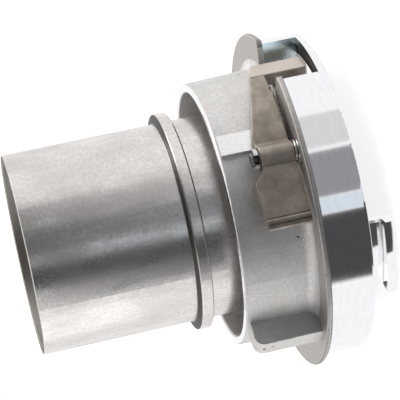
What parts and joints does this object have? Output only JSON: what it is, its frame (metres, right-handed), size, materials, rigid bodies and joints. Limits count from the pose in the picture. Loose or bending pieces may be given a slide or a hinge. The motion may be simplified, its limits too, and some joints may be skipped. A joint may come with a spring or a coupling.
{
  "type": "storz coupling",
  "caption": "Claw hose coupling with a turning lug ring, a smooth hose tail for a shell clamp, a face gasket and a sprung locking lever.",
  "frame": {"origin": "centre of the sealing face, on the coupling's axis", "axes": "+Z along the waterway towards the open end of the hose tail, +X through the middle of one claw, +Y through the window and notch for the lever's bar"},
  "size_m": [0.1864, 0.1847, 0.1871],
  "materials": {
    "cast_aluminium": "cast and blasted, rim turned bright",
    "drawn_aluminium": "drawn tube, satin",
    "black_rubber": "moulded, matt",
    "spring_steel": "drawn wire",
    "sliding_plastic": "moulded",
    "cast_stainless": "investment cast and blasted",
    "turned_stainless": "turned"
  },
  "bodies": {
    "lug_ring": {"lug_ring": "cast_aluminium", "lever_pin": "turned_stainless", "washer": "turned_stainless", "retaining_clip": "spring_steel", "slide_ring": "sliding_plastic"},
    "hose_tail": {"hose_tail": "drawn_aluminium", "sealing_gasket": "black_rubber", "snap_ring": "spring_steel"},
    "lever": {"lever": "cast_stainless", "torsion_spring": "spring_steel"}
  },
  "joints": [
    {"name": "tail_swivel", "type": "hinge", "parent": "lug_ring", "child": "hose_tail", "pos_m": [0, 0, 0.0215], "axis": [0, 0, 1], "continuous": true},
    {"name": "lever_pivot", "type": "hinge", "parent": "lug_ring", "child": "lever", "pos_m": [0.05371, 0.06168, 0.039], "axis": [0, 0, -1], "range_deg": [0, 16], "stiffness_Nm_per_rad": 0.09, "springref_deg": -85.94, "deforming": ["torsion_spring"]}
  ]
}
